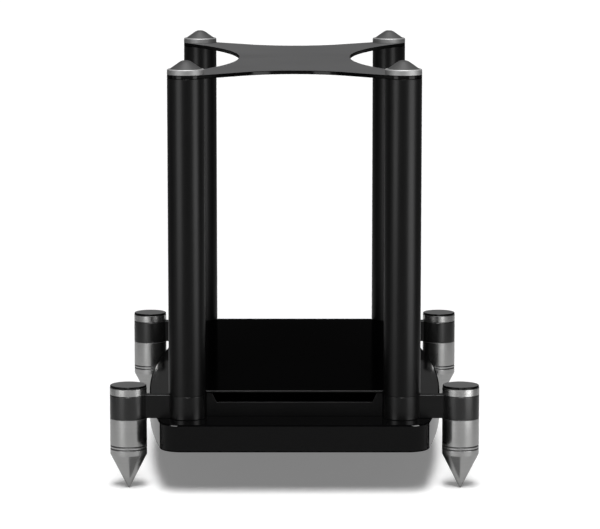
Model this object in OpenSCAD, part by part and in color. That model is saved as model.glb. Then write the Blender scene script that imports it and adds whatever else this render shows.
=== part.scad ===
// Speaker stand with four round pillars on a bowed base slab, a cross-shaped
// top plate with domed rubber pads, and four outrigger feet with screw spikes.
// The floor is z = 0, with the spikes screwed fully in. The front faces -Y.

/* [Pillars] */
// Distance between the left and right pillar centres
pillar_spacing_x = 233; // [215:1:300]
// Distance between the front and rear pillar centres
pillar_spacing_y = 500; // [420:1:640]
// Outside diameter of a pillar tube and of the collar under it
pillar_d = 40; // [36:1:46]
// Wall of a pillar tube
pillar_wall = 3; // [2:0.5:5]
// Length of a pillar tube, from the outrigger collar to the top plate
pillar_len = 343.5; // [250:0.5:700]
// Diameter of the tie rod inside each pillar
rod_d = 10; // [8:1:12]
// Height of the plug in the top of each tube
plug_h = 12; // [6:1:30]
// Height of the collar's spigot inside the foot of each tube
spigot_h = 10; // [5:1:25]

/* [Base slab] */
// Thickness of the slab
slab_t = 30; // [25:1:40]
// Slab left beside a pillar's centre, at the pillar
slab_margin_x = 33; // [27:0.5:45]
// Slab left in front of a front pillar's centre
slab_margin_y = 45; // [32:1:70]
// How far each long side bows out at mid depth, past its width at the pillars
slab_bow = 18; // [8:1:30]
// Radius of the slab's vertical corners
slab_corner_r = 25; // [15:1:30]
// Chamfer on the slab's top and bottom edges
slab_chamfer = 1.5; // [0.5:0.5:3]

/* [Outriggers] */
// Height of an outrigger bar and its collars
arm_h = 25.5; // [20:0.5:35]
// Thickness of the bar between its collars
arm_t = 12; // [8:1:18]
// Clear space between the slab's side, at the pillar, and the foot
foot_standoff = 11; // [8:0.5:60]
// Chamfer on the long edges of the bar
arm_chamfer = 0.8; // [0.4:0.1:1.5]

/* [Feet] */
// Diameter of the feet
foot_d = 40; // [36:0.5:46]
// Height of the cone
cone_h = 38.2; // [28:0.1:45]
// Radius of the blunted tip
tip_r = 0.7; // [0.4:0.1:1.5]
// Height of the straight barrel above the cone
barrel_h = 6.1; // [5:0.1:12]
// Height of the jam ring
jam_ring_h = 3; // [2.5:0.5:5]
// Height of the sleeve under the outrigger collar
sleeve_h = 30.1; // [24:0.1:40]
// Edge chamfers that make the turned grooves beside the jam ring
groove_chamfer = 0.5; // [0.3:0.1:0.8]
// Height of the steel ring above the outrigger collar
foot_ring_h = 8.2; // [6:0.1:12]
// Height of the cap that shows above the ring
cap_h = 2.4; // [1.6:0.1:4]
// Diameter of the foot's thread
stem_d = 12; // [10:1:14]
// Length of spike stem inside the sleeve, with the spike screwed in
stem_len = 19.5; // [16:0.5:21]
// Length of foot stud inside the sleeve
stud_len = 8.5; // [6:0.5:10]
// How far the cap's spigot reaches into the ring
cap_spigot_h = 2.5; // [1.5:0.1:4]

/* [Top] */
// Thickness of the top plate
plate_t = 4; // [3:0.5:8]
// Width of the top plate at its waist
plate_waist_w = 128; // [110:1:150]
// How far the middle of each end lies inside the pillar centres
plate_end_inset = 53; // [45:1:65]
// Radius of the hollow at each end
plate_end_r = 78; // [70:1:85]
// Height of the steel ring on each pillar
pad_ring_h = 6; // [5:0.5:10]
// Chamfer on the ring's top edge
pad_ring_chamfer = 0.8; // [0.6:0.1:2]
// Diameter of a rubber pad
pad_d = 34.5; // [30:0.5:35]
// Height of a pad's dome above its ring
pad_h = 9; // [6:0.5:12]
// Radius of the pad's rounded top
pad_nose_r = 12; // [10.5:0.5:14]
// Radius of the flat crown on a pad
pad_crown_r = 3; // [2:0.5:4]
// Depth of the pad's seat in the ring
pad_seat = 1.5; // [1:0.1:2]

/* [Centre deck] */
// How far the deck's underside lies above the outrigger collars
deck_rise = 0.5; // [0.3:0.1:6]
// Thickness of the rails
rail_t = 6; // [5:0.5:8]
// Thickness of the deck plate
deck_t = 2.5; // [2:0.5:5]
// How far the deck's ends lie inside the pillar centres
deck_end_inset = 4.4; // [3:0.1:9]
// How far the end rails lie behind the deck's edge
rail_inset = 1.6; // [1:0.1:4]
// How far the deck's sides lie inside the pillar centres
deck_side_inset = 4.5; // [3:0.1:9]
// How far the side rails lie inside the deck's side
side_rail_inset = 3.5; // [2:0.5:8]
// Space between the deck's corner and a pillar collar
deck_corner_gap = 1; // [0.5:0.5:4]
// Depth of the cable notch in the top of each end rail
notch_h = 10.5; // [6:0.5:14]
// Rail left at each end of the cable notch
notch_land = 6; // [4:1:40]
// How far each end of the notch slopes in
notch_slope = 5; // [3:0.5:12]

/* [Hidden] */
$fn = 96;

// Clearances
rod_clearance = 0.5;
thread_fit = 0.05;
foot_gap = 0.3;
tube_fit = 0.05;
pad_fit = 0.1;
rail_end_gap = 0.5;
cut_over = 1;

// Fasteners
nut_af = 17;
nut_h = 8;
washer_r = 12;
washer_t = 2;
nut_recess_r = 14;
nut_recess_depth = 12;
rod_end_step = 1;
rod_top_step = 0.4;
screw_r = 2;
screw_head_r = 3.5;
screw_head_h = 4;
screw_socket_af = 3;
screw_socket_depth = 2;
screw_recess_r = 4;
screw_recess_depth = 8;
screw_bite = 14;
screw_tip_gap = 1;
end_screw_place_share = 0.5;
side_screw_place_share = 0.6;

// Edge breaks on the turned feet and the caps
ring_chamfer = 0.4;
cap_round = 1.1;
cap_rim_step = 0.3;

// Corner signs: x is left or right, y is front or rear
FRONT_LEFT = [-1, -1];
FRONT_RIGHT = [1, -1];
REAR_LEFT = [-1, 1];
REAR_RIGHT = [1, 1];
CORNERS = [FRONT_LEFT, FRONT_RIGHT, REAR_LEFT, REAR_RIGHT];

// Plan positions
pillar_x = pillar_spacing_x / 2;
pillar_y = pillar_spacing_y / 2;
pillar_r = pillar_d / 2;
foot_r = foot_d / 2;
foot_x = pillar_x + slab_margin_x + foot_standoff + foot_r;

// Heights, from the tip of the spikes upwards
jam_ring_z = cone_h + barrel_h + foot_gap;
sleeve_z = jam_ring_z + jam_ring_h + foot_gap;
slab_top = sleeve_z + sleeve_h;
slab_z = slab_top - slab_t;
tube_z = slab_top + arm_h;
plate_z = tube_z + pillar_len;
ring_z = plate_z + plate_t;
pad_z = ring_z + pad_ring_h;
foot_ring_z = slab_top + arm_h;
foot_cap_z = foot_ring_z + foot_ring_h;
rail_h = arm_h + deck_rise;
deck_z = slab_top + rail_h;

// Base slab outline
slab_half_w = pillar_x + slab_margin_x + slab_bow;
slab_half_d = pillar_y + slab_margin_y;
slab_side_r = (pillar_y * pillar_y + slab_bow * slab_bow) / (2 * slab_bow);

// Top plate outline: ear circles joined to the end hollows by straight
// tangents and to the side hollows by a tangent arc
plate_waist_x = plate_waist_w / 2;
end_centre_y = pillar_y - plate_end_inset + plate_end_r;
end_offset = end_centre_y - pillar_y;
end_reach = sqrt(pillar_x * pillar_x + end_offset * end_offset);
tangent_angle = atan2(end_offset, pillar_x) + acos((plate_end_r + pillar_r) / end_reach);
waist_run = pillar_x - plate_waist_x;
side_arc_r = (waist_run * waist_run + pillar_y * pillar_y - pillar_r * pillar_r)
  / (2 * (waist_run + pillar_r));
side_centre_x = plate_waist_x + side_arc_r;
side_angle = atan2(pillar_y, side_centre_x - pillar_x);

// Centre deck
deck_half_w = pillar_x - deck_side_inset;
deck_half_d = pillar_y - deck_end_inset;
deck_corner_r = pillar_r + deck_corner_gap;
end_rail_y = deck_half_d - rail_inset - rail_t / 2;
side_rail_x = deck_half_w - side_rail_inset - rail_t / 2;
end_rail_half = pillar_x - pillar_r - rail_end_gap;
side_rail_half = pillar_y - pillar_r - rail_end_gap;
end_screw_x = end_rail_half * end_screw_place_share;
side_screw_y = side_rail_half * side_screw_place_share;
rail_screw_places = concat(
  [for (corner = CORNERS) [corner[0] * end_screw_x, corner[1] * end_rail_y, 0]],
  [for (corner = CORNERS) [corner[0] * side_rail_x, corner[1] * side_screw_y, 0]]);

// Radii of the running and fixed threads in the feet
stem_r = stem_d / 2;
stem_bore_r = stem_r + thread_fit;
rod_r = rod_d / 2;
rod_hole_r = rod_r + rod_clearance;
tube_bore_r = pillar_r - pillar_wall;

BLACK_GLOSS = [0.02, 0.02, 0.022];
BLACK_SATIN = [0.07, 0.07, 0.075];
BLACK_ARM = [0.05, 0.05, 0.052];
STEEL = [0.56, 0.56, 0.55];
RUBBER = [0.16, 0.16, 0.16];
CAP_GREY = [0.3, 0.3, 0.3];

// Points on an arc about c, in steps steps from angle a0 to a1
function arc(c, r, a0, a1, steps) = [
  for (i = [0 : steps]) let (a = a0 + (a1 - a0) * i / steps) [c[0] + r * cos(a), c[1] + r * sin(a)]
];

function reversed(points) = [for (i = [len(points) - 1 : -1 : 0]) points[i]];
function without_ends(points) = [for (i = [1 : len(points) - 2]) points[i]];

// A whole outline from its front right quarter, which starts on the Y axis
// and ends on the X axis
function four_way(quarter) =
  let (right = concat(quarter, [for (p = reversed(quarter)) if (p[1] < 0) [p[0], -p[1]]]))
  concat(right, [for (p = without_ends(reversed(right))) [-p[0], p[1]]]);

function slab_quarter(inset) =
  let (
    r = slab_corner_r - inset,
    big_r = slab_side_r - inset,
    big_x = slab_half_w - slab_side_r,
    cy = slab_half_d - slab_corner_r,
    cx = big_x + sqrt(pow(slab_side_r - slab_corner_r, 2) - cy * cy),
    turn = asin(cy / (slab_side_r - slab_corner_r))
  )
  concat([[0, -slab_half_d + inset]],
    arc([cx, -cy], r, -90, -turn, 10),
    without_ends(arc([big_x, 0], big_r, -turn, 0, 16)),
    [[slab_half_w - inset, 0]]);

plate_quarter = concat(
  arc([0, -end_centre_y], plate_end_r, 90, tangent_angle, 10),
  arc([pillar_x, -pillar_y], pillar_r, 180 + tangent_angle, 360 + side_angle, 20),
  without_ends(arc([side_centre_x, 0], side_arc_r, 180 + side_angle, 180, 20)),
  [[plate_waist_x, 0]]);

deck_quarter = let (
    front_x = pillar_x - sqrt(deck_corner_r * deck_corner_r - deck_end_inset * deck_end_inset),
    side_y = pillar_y - sqrt(deck_corner_r * deck_corner_r - deck_side_inset * deck_side_inset),
    a0 = atan2(deck_end_inset, front_x - pillar_x),
    a1 = atan2(pillar_y - side_y, -deck_side_inset)
  )
  concat([[0, -deck_half_d]],
    arc([pillar_x, -pillar_y], deck_corner_r, a0, a1, 10),
    [[deck_half_w, 0]]);

// Moves its children to the pillar or the foot at a corner
module at_pillar(corner, z) {
  translate([corner[0] * pillar_x, corner[1] * pillar_y, z]) children();
}

module at_foot(corner, z) {
  translate([corner[0] * foot_x, corner[1] * pillar_y, z]) children();
}

// A hole up from z, open by cut_over at both ends
module through_hole(r, z, h) {
  translate([0, 0, z - cut_over]) cylinder(r = r, h = h + 2 * cut_over);
}

// A ring with chamfered rims, its base at z = 0
module ring(r, bore_r, h, low_chamfer, top_chamfer) {
  rotate_extrude()
    polygon([[bore_r, 0], [r - low_chamfer, 0], [r, low_chamfer], [r, h - top_chamfer],
      [r - top_chamfer, h], [bore_r, h]]);
}

module base_slab() {
  color(BLACK_GLOSS) difference() {
    translate([0, 0, slab_z]) hull() {
      linear_extrude(slab_t) polygon(four_way(slab_quarter(slab_chamfer)));
      translate([0, 0, slab_chamfer])
        linear_extrude(slab_t - 2 * slab_chamfer) polygon(four_way(slab_quarter(0)));
    }
    for (corner = CORNERS) at_pillar(corner, 0) {
      through_hole(rod_hole_r, slab_z, slab_t);
      translate([0, 0, slab_z - cut_over]) cylinder(r = nut_recess_r, h = nut_recess_depth + cut_over);
    }
    for (place = rail_screw_places) translate(place) {
      through_hole(screw_r + thread_fit, slab_z, slab_t);
      translate([0, 0, slab_z - cut_over]) cylinder(r = screw_recess_r, h = screw_recess_depth + cut_over);
    }
  }
}

// A bar along X with a collar at each end: one under the pillar, one round the foot stud
module outrigger(corner) {
  bar_len = foot_x - pillar_x;
  half_t = arm_t / 2;
  color(BLACK_ARM) difference() {
    union() {
      at_pillar(corner, slab_top) cylinder(r = pillar_r, h = arm_h);
      at_pillar(corner, tube_z) cylinder(r = tube_bore_r - tube_fit, h = spigot_h);
      at_foot(corner, slab_top) cylinder(r = foot_r, h = arm_h);
      at_pillar(corner, slab_top) mirror([corner[0] < 0 ? 1 : 0, 0, 0])
        rotate([90, 0, 90]) linear_extrude(bar_len)
          polygon([[-half_t + arm_chamfer, 0], [half_t - arm_chamfer, 0], [half_t, arm_chamfer],
            [half_t, arm_h - arm_chamfer], [half_t - arm_chamfer, arm_h],
            [-half_t + arm_chamfer, arm_h], [-half_t, arm_h - arm_chamfer], [-half_t, arm_chamfer]]);
    }
    at_pillar(corner, 0) through_hole(rod_hole_r, slab_top, arm_h + spigot_h);
    at_foot(corner, 0) through_hole(stem_bore_r, slab_top, arm_h);
  }
}

// An end rail with the cable notch in its top edge; side is -1 at the front
module end_rail(side) {
  notch_top = end_rail_half - notch_land;
  notch_foot = notch_top - notch_slope;
  color(BLACK_GLOSS) difference() {
    translate([0, side * end_rail_y + rail_t / 2, slab_top]) rotate([90, 0, 0]) linear_extrude(rail_t)
      polygon([[-end_rail_half, 0], [end_rail_half, 0], [end_rail_half, rail_h], [notch_top, rail_h],
        [notch_foot, rail_h - notch_h], [-notch_foot, rail_h - notch_h], [-notch_top, rail_h],
        [-end_rail_half, rail_h]]);
    for (place = rail_screw_places) if (place[1] * side > side_rail_half) translate(place)
      through_hole(screw_r + thread_fit, slab_top - cut_over, screw_bite + screw_tip_gap);
  }
}

// A side rail; side is -1 at the left
module side_rail(side) {
  color(BLACK_GLOSS) difference() {
    translate([side * side_rail_x - rail_t / 2, -side_rail_half, slab_top])
      cube([rail_t, 2 * side_rail_half, rail_h]);
    for (place = rail_screw_places) if (abs(place[1]) < side_rail_half && place[0] * side > 0)
      translate(place) through_hole(screw_r + thread_fit, slab_top - cut_over, screw_bite + screw_tip_gap);
  }
}

module deck_plate() {
  color(BLACK_GLOSS) translate([0, 0, deck_z]) linear_extrude(deck_t) polygon(four_way(deck_quarter));
}

module pillar(corner) {
  color(BLACK_SATIN) at_pillar(corner, tube_z) difference() {
    cylinder(r = pillar_r, h = pillar_len);
    through_hole(tube_bore_r, 0, pillar_len);
  }
}

module pillar_plugs() {
  color(STEEL) for (corner = CORNERS) at_pillar(corner, plate_z - plug_h)
    ring(tube_bore_r - tube_fit, rod_hole_r, plug_h, 0, 0);
}

module top_plate() {
  color(BLACK_GLOSS) difference() {
    translate([0, 0, plate_z]) linear_extrude(plate_t) polygon(four_way(plate_quarter));
    for (corner = CORNERS) at_pillar(corner, 0) through_hole(rod_hole_r, plate_z, plate_t);
  }
}

// The threaded ring that clamps the top plate and seats the pad
module pad_ring(corner) {
  color(STEEL) at_pillar(corner, ring_z) difference() {
    ring(pillar_r, rod_r + thread_fit, pad_ring_h, 0, pad_ring_chamfer);
    translate([0, 0, pad_ring_h - pad_seat])
      cylinder(r = pad_d / 2 + pad_fit, h = pad_seat + cut_over);
  }
}

// A rubber dome: straight flanks from its rim, then a rounded top with a flat crown
module pad(corner) {
  rim_r = pad_d / 2;
  drop = sqrt(pad_nose_r * pad_nose_r - pad_crown_r * pad_crown_r) - pad_h;
  reach = sqrt(rim_r * rim_r + drop * drop);
  low = atan2(drop, rim_r) + acos(pad_nose_r / reach);
  high = acos(pad_crown_r / pad_nose_r);
  color(RUBBER) at_pillar(corner, pad_z - pad_seat) rotate_extrude()
    polygon(concat([[0, 0], [rim_r, 0], [rim_r, pad_seat]],
      arc([0, pad_seat - drop], pad_nose_r, low, high, 12), [[0, pad_seat + pad_h]]));
}

module tie_rods() {
  low = slab_z + rod_end_step;
  color(STEEL) for (corner = CORNERS) at_pillar(corner, low)
    cylinder(r = rod_r, h = pad_z - pad_seat - rod_top_step - low);
}

module tie_nuts() {
  nut_z = slab_z + nut_recess_depth - washer_t - nut_h;
  color(STEEL) for (corner = CORNERS) at_pillar(corner, nut_z) difference() {
    cylinder(r = nut_af / 2 / cos(30), h = nut_h, $fn = 6);
    through_hole(rod_r + thread_fit, 0, nut_h);
  }
}

module tie_washers() {
  color(STEEL) for (corner = CORNERS) at_pillar(corner, slab_z + nut_recess_depth - washer_t)
    ring(washer_r, rod_hole_r, washer_t, 0, 0);
}

module rail_screws() {
  seat = slab_z + screw_recess_depth;
  color(STEEL) for (place = rail_screw_places) translate(place) difference() {
    union() {
      translate([0, 0, seat - screw_head_h]) cylinder(r = screw_head_r, h = screw_head_h);
      translate([0, 0, seat]) cylinder(r = screw_r, h = slab_top + screw_bite - seat);
    }
    translate([0, 0, seat - screw_head_h - cut_over])
      cylinder(r = screw_socket_af / 2 / cos(30), h = screw_socket_depth + cut_over, $fn = 6);
  }
}

module foot_studs() {
  low = slab_top - stud_len;
  color(STEEL) for (corner = CORNERS) at_foot(corner, low)
    cylinder(r = stem_r, h = foot_cap_z - cap_spigot_h - foot_gap - low);
}

module sleeve(corner) {
  color(STEEL) at_foot(corner, sleeve_z) ring(foot_r, stem_bore_r, sleeve_h, groove_chamfer, 0);
}

module foot_ring(corner) {
  color(STEEL) at_foot(corner, foot_ring_z) ring(foot_r, stem_bore_r, foot_ring_h, 0, ring_chamfer);
}

module foot_cap(corner) {
  cap_r = foot_r - cap_rim_step;
  color(CAP_GREY) at_foot(corner, foot_cap_z) rotate_extrude()
    polygon(concat([[0, -cap_spigot_h], [stem_r, -cap_spigot_h], [stem_r, 0], [cap_r, 0]],
      arc([cap_r - cap_round, cap_h - cap_round], cap_round, 0, 90, 6), [[0, cap_h]]));
}

module jam_ring(corner) {
  color(STEEL) at_foot(corner, jam_ring_z)
    ring(foot_r, stem_bore_r, jam_ring_h, groove_chamfer, groove_chamfer);
}

// Cone, barrel and threaded stem, turned in one piece
module spike(corner) {
  top = cone_h + barrel_h;
  stem_top = sleeve_z + stem_len;
  color(STEEL) at_foot(corner, 0) rotate_extrude()
    polygon([[0, 0], [tip_r, 0], [foot_r, cone_h], [foot_r, top - groove_chamfer],
      [foot_r - groove_chamfer, top], [stem_r, top], [stem_r, stem_top], [0, stem_top]]);
}

base_slab();
outrigger(FRONT_LEFT);  // outrigger_front_left
outrigger(FRONT_RIGHT);  // outrigger_front_right
outrigger(REAR_LEFT);  // outrigger_rear_left
outrigger(REAR_RIGHT);  // outrigger_rear_right
end_rail(-1);  // front_rail
end_rail(1);  // rear_rail
side_rail(-1);  // left_rail
side_rail(1);  // right_rail
deck_plate();
pillar(FRONT_LEFT);  // pillar_front_left
pillar(FRONT_RIGHT);  // pillar_front_right
pillar(REAR_LEFT);  // pillar_rear_left
pillar(REAR_RIGHT);  // pillar_rear_right
pillar_plugs();
top_plate();
pad_ring(FRONT_LEFT);  // pad_ring_front_left
pad_ring(FRONT_RIGHT);  // pad_ring_front_right
pad_ring(REAR_LEFT);  // pad_ring_rear_left
pad_ring(REAR_RIGHT);  // pad_ring_rear_right
pad(FRONT_LEFT);  // pad_front_left
pad(FRONT_RIGHT);  // pad_front_right
pad(REAR_LEFT);  // pad_rear_left
pad(REAR_RIGHT);  // pad_rear_right
tie_rods();
tie_nuts();
tie_washers();
rail_screws();
foot_studs();
sleeve(FRONT_LEFT);  // sleeve_front_left
sleeve(FRONT_RIGHT);  // sleeve_front_right
sleeve(REAR_LEFT);  // sleeve_rear_left
sleeve(REAR_RIGHT);  // sleeve_rear_right
foot_ring(FRONT_LEFT);  // foot_ring_front_left
foot_ring(FRONT_RIGHT);  // foot_ring_front_right
foot_ring(REAR_LEFT);  // foot_ring_rear_left
foot_ring(REAR_RIGHT);  // foot_ring_rear_right
foot_cap(FRONT_LEFT);  // foot_cap_front_left
foot_cap(FRONT_RIGHT);  // foot_cap_front_right
foot_cap(REAR_LEFT);  // foot_cap_rear_left
foot_cap(REAR_RIGHT);  // foot_cap_rear_right
jam_ring(FRONT_LEFT);  // jam_ring_front_left
jam_ring(FRONT_RIGHT);  // jam_ring_front_right
jam_ring(REAR_LEFT);  // jam_ring_rear_left
jam_ring(REAR_RIGHT);  // jam_ring_rear_right
spike(FRONT_LEFT);  // spike_front_left
spike(FRONT_RIGHT);  // spike_front_right
spike(REAR_LEFT);  // spike_rear_left
spike(REAR_RIGHT);  // spike_rear_right
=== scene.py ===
"""Finished surfaces of a speaker stand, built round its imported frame.

Places and outer sizes come from the frame. Fine forms and finishes come from
the settings and values below. Each finished piece stands for the node that it
covers, and the frame's own nodes stay where they are.
"""
import math

import bmesh
import bpy
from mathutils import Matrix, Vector


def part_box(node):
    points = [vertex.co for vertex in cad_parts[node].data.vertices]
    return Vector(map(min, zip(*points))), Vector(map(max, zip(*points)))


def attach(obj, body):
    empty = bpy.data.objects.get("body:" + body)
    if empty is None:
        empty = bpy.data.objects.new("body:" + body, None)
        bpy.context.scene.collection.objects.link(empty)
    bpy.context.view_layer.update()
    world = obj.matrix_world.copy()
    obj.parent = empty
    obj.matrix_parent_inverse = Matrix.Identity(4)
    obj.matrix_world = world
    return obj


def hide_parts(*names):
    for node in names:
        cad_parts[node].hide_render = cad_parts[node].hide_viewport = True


bl_info = {
    "name": "Speaker stand",
    "version": (1, 0, 0),
    "blender": (4, 5, 0),
    "location": "View3D > Sidebar > Stand",
    "description": "Builds the finished pieces and the studio of a speaker stand",
    "category": "Object",
}

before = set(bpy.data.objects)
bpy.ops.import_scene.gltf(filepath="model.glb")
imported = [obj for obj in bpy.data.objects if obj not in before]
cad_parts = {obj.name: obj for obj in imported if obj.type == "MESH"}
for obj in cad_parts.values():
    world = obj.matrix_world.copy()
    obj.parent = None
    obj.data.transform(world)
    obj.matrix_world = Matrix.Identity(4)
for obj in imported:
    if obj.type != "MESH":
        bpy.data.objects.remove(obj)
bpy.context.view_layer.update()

MM = 0.001

# The corners, and the side that the outrigger of each one points to.
CORNERS = {"front_left": -1, "front_right": 1, "rear_left": -1, "rear_right": 1}

# Slab: the bow of its long sides, its corners, and the recesses in its underside.
SLAB_BOW = 18 * MM
SLAB_CORNER = 25 * MM
NUT_RECESS_RADIUS = 14 * MM
NUT_RECESS_DEPTH = 12 * MM
SCREW_RECESS_RADIUS = 4 * MM
SCREW_RECESS_DEPTH = 8 * MM
SIDE_SCREW_SHARE = 0.6
# The stretch of the slab's upper rim that glints, measured out from the middle.
SLAB_GLINT_FROM = 124.6 * MM
SLAB_GLINT_LENGTH = 9 * MM

# Outriggers, deck and rails.
BAR_HALF_THICKNESS = 6 * MM
DECK_CORNER_GAP = 1 * MM
NOTCH_DEPTH = 10.5 * MM
NOTCH_LAND = 6 * MM
NOTCH_SLOPE = 5 * MM

# Pillars, top plate and pads.
TUBE_WALL = 3 * MM
PLATE_END_INSET = 53 * MM
PLATE_END_RADIUS = 78 * MM
PLATE_HALF_WAIST = 64 * MM
PAD_RING_CHAMFER = 0.8 * MM
PAD_SEAT = 1.5 * MM
PAD_FIT = 0.1 * MM
PAD_CROWN = 3 * MM
PAD_NOSE = 12 * MM

# Feet and spikes. Each turn of the thread has a few rows of points, and a flank under one widens
# its groove.
GROOVE = 0.5 * MM
STEM_RADIUS = 6.0 * MM
STEM_BORE = 6.05 * MM
CAP_ROUND = 1.1 * MM
FOOT_GAP = 0.3 * MM
BARREL = 6.1 * MM
THREAD_ROWS = 8
THREAD_FLANK = 0.8

# Fixings.
ROD_FIT = 0.05 * MM
ROD_HOLE_GAP = 0.5 * MM
ROD_EDGE = 0.6 * MM
WASHER_EDGE = 0.25 * MM
NUT_EDGE = 0.7 * MM
SCREW_HEAD = 4 * MM
SCREW_HEAD_RADIUS = 3.5 * MM
SCREW_RADIUS = 2 * MM
SCREW_SOCKET = 3 * MM
SCREW_EDGE = 0.4 * MM

# Mesh making: how far a cutter reaches past a face, the gap at which the points of a cut merge,
# the most of an edge that a rounding takes, and the least slant of an inset.
CUT_OVER = 1 * MM
CUT_MERGE = 0.002 * MM
EDGE_SHARE = 0.49
INSET_SLANT = 0.3
SAME_POINT = 1e-7
ON_AXIS = 1e-9
SHARP_DEGREES = 38.0

# Points round a turned piece, and steps along each kind of arc.
TURNED_SEGMENTS = 128
SPIKE_SEGMENTS = 96
BAR_SEGMENTS = 48
SCREW_SEGMENTS = 32
ROUNDING_STEPS = 4
SLAB_CORNER_STEPS = 16
SLAB_SIDE_STEPS = 48
COLLAR_STEPS = 72
DECK_CORNER_STEPS = 14
PLATE_END_STEPS = 28
PLATE_EAR_STEPS = 40
PLATE_SIDE_STEPS = 48
NOSE_STEPS = 20

# Upright share of a face's normal: a wall has less, a flat face has more, and a pad ring's rim
# and a spike's groove have more.
WALL_RISE = 0.1
FLAT_RISE = 0.99
RIM_RISE = 0.2
GROOVE_RISE = 0.3

# Patterns of the finishes: how many to a metre, and their detail. The tube's draw lines are
# stretched to so many across and so few along it.
LACQUER_HAZE = (9.0, 4.0)
LACQUER_PEEL = (420.0, 1.0)
TUBE_STRETCH = (900.0, 900.0, 14.0)
TUBE_DRAW_LINES = (1.0, 3.0)
TUBE_GRAIN = (2600.0, 2.0)
TUBE_CLOUD = (12.0, 3.0)
STEEL_RINGS = (5200.0, 2.0)
STEEL_BANDS = (420.0, 2.0)
STEEL_CLOUD = (60.0, 3.0)
ZINC_GRAIN = (900.0, 3.0)
ZINC_PATCHES = (140.0, 3.0)
RUBBER_GRAIN = (1900.0, 3.0)
RUBBER_BLOOM = (45.0, 3.0)

# Shares of two patterns: of draw lines and grain in the tube's bump, and of bands and cloud in the
# steel's tone.
TUBE_HEIGHTS = (0.7, 0.3)
STEEL_TONES = (0.6, 0.4)

# The darkest and lightest shade of each finish, as shares of its colour.
LACQUER_SHADES = (0.85, 1.2)
TUBE_SHADES = (0.8, 1.25)
STEEL_SHADES = (0.86, 1.1)
ZINC_SHADES = (0.8, 1.1)
RUBBER_SHADES = (0.8, 1.3)

# The photograph's width in pixels, the camera's in millimetres, and how far it sees.
PICTURE_WIDTH = 600.0
SENSOR_WIDTH = 36.0
VIEW_LENGTH = 200.0

# The floor, and dark patches painted on it that show only in reflections: painted shade under the
# stand's front, between two depths, for the slab's shadow in reflections, and a painted darker
# reflection to each side, from a front edge to the rear.
FLOOR_SIZE = 60.0
SHADE_PATCH_HALF_WIDTH = 0.178
SHADE_PATCH_FRONT = -0.33
SHADE_PATCH_BACK = -0.262
SIDE_PAINTED_DARK_FROM = 0.7
SIDE_PAINTED_DARK_FRONT = -0.35

# The front lamps, which give highlights only, and the lights from above.
LEFT_LAMP_PLACE = (-0.86, -1.1, 0.4)
LEFT_LAMP_SIZE = (0.6, 0.75)
RIGHT_LAMP_PLACE = (0.54, -0.6, 0.34)
RIGHT_LAMP_SIZE = (0.36, 0.6)
LAMP_AIM = (0.0, -0.25, 0.33)
TOP_LIGHT_TILTS = (16, 27, 40)
TOP_LIGHT_SPREAD = 18.0
TOP_LIGHT_HEIGHT = 2.0


def length(label, words, default):
    """A length setting, in metres."""
    return bpy.props.FloatProperty(
        name=label, description=words, default=default, min=0.0, unit="LENGTH", precision=5)


def colour(label, words, default):
    """A colour setting, in linear light."""
    return bpy.props.FloatVectorProperty(
        name=label, description=words, default=default, size=3, min=0.0, max=1.0, subtype="COLOR")


def share(label, words, default):
    """A setting from nought to one."""
    return bpy.props.FloatProperty(
        name=label, description=words, default=default, min=0.0, max=1.0, subtype="FACTOR")


def number(label, words, default, unit="NONE"):
    """A plain number setting, with its unit where one fits."""
    return bpy.props.FloatProperty(name=label, description=words, default=default, unit=unit)


class StandShape(bpy.types.PropertyGroup):
    """Edge roundings and small forms that the frame leaves plain."""

    slab_edge: length("Slab edge", "Rounding of the slab's upper and lower rims", 1.5 * MM)
    plate_edge: length("Plate edge", "Rounding of the top plate's rims", 0.5 * MM)
    deck_edge: length("Deck edge", "Rounding of the deck's rims", 0.9 * MM)
    rail_edge: length("Rail edge", "Rounding of the rails' edges", 0.4 * MM)
    arm_edge: length("Outrigger edge", "Rounding of the outriggers' rims", 0.7 * MM)
    tube_edge: length("Tube edge", "Rounding of the pillars' ends", 0.4 * MM)
    turned_edge: length("Turned edge", "Rounding of the turned steel edges", 0.35 * MM)
    tip_radius: length("Tip radius", "Radius of the spike's blunt tip", 0.7 * MM)
    thread_pitch: length("Thread pitch", "Pitch of the spike's thread", 1.75 * MM)
    thread_depth: length("Thread depth", "Depth of the spike's thread", 0.95 * MM)


class StandFinish(bpy.types.PropertyGroup):
    """Colours of the finishes."""

    lacquer: colour("Lacquer", "Gloss black lacquer of the slab and rails", (0.002, 0.002, 0.0021))
    deck: colour("Deck", "Deep black lacquer of the deck", (0.0005, 0.0005, 0.00055))
    # Painted light: the top plate's top face takes this grey, lighter than the black lacquer of its
    # walls.
    plate: colour("Top plate", "Black lacquer of the top plate", (0.115, 0.115, 0.117))
    anodised: colour("Tube", "Black anodising of the pillars", (0.002, 0.002, 0.0021))
    arm: colour("Outrigger", "Black lacquer of the outriggers", (0.003, 0.003, 0.0031))
    steel: colour("Steel", "Turned steel of the feet", (0.55, 0.55, 0.545))
    # Painted shade: darker steel on the chamfers that form the grooves of the feet.
    groove: colour("Grooves", "Shaded steel in the grooves of the feet", (0.09, 0.09, 0.09))
    pad_ring: colour("Pad rings", "Blasted steel of the rings under the pads", (0.3, 0.3, 0.3))
    # Painted highlight: lighter steel on the top rims of the rings under the pads.
    pad_rim_highlight: colour("Pad ring rims", "Brighter rim of the rings under the pads", (0.62, 0.62, 0.62))
    # Painted sheen: a lighter, glossier copy of the outriggers' black lacquer, for the collars round
    # the feet.
    collar: colour("Collar", "Black lacquer of the collars round the feet", (0.005, 0.005, 0.005))
    fixing: colour("Fixings", "Plated steel of nuts and screws", (0.42, 0.42, 0.41))
    rubber: colour("Rubber", "Moulded rubber of the pads", (0.065, 0.065, 0.065))
    # Painted light: the foot caps' top faces take this grey, lighter than the black lacquer of their
    # sides.
    cap: colour("Cap", "Black lacquer of the foot caps", (0.12, 0.12, 0.121))


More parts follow.
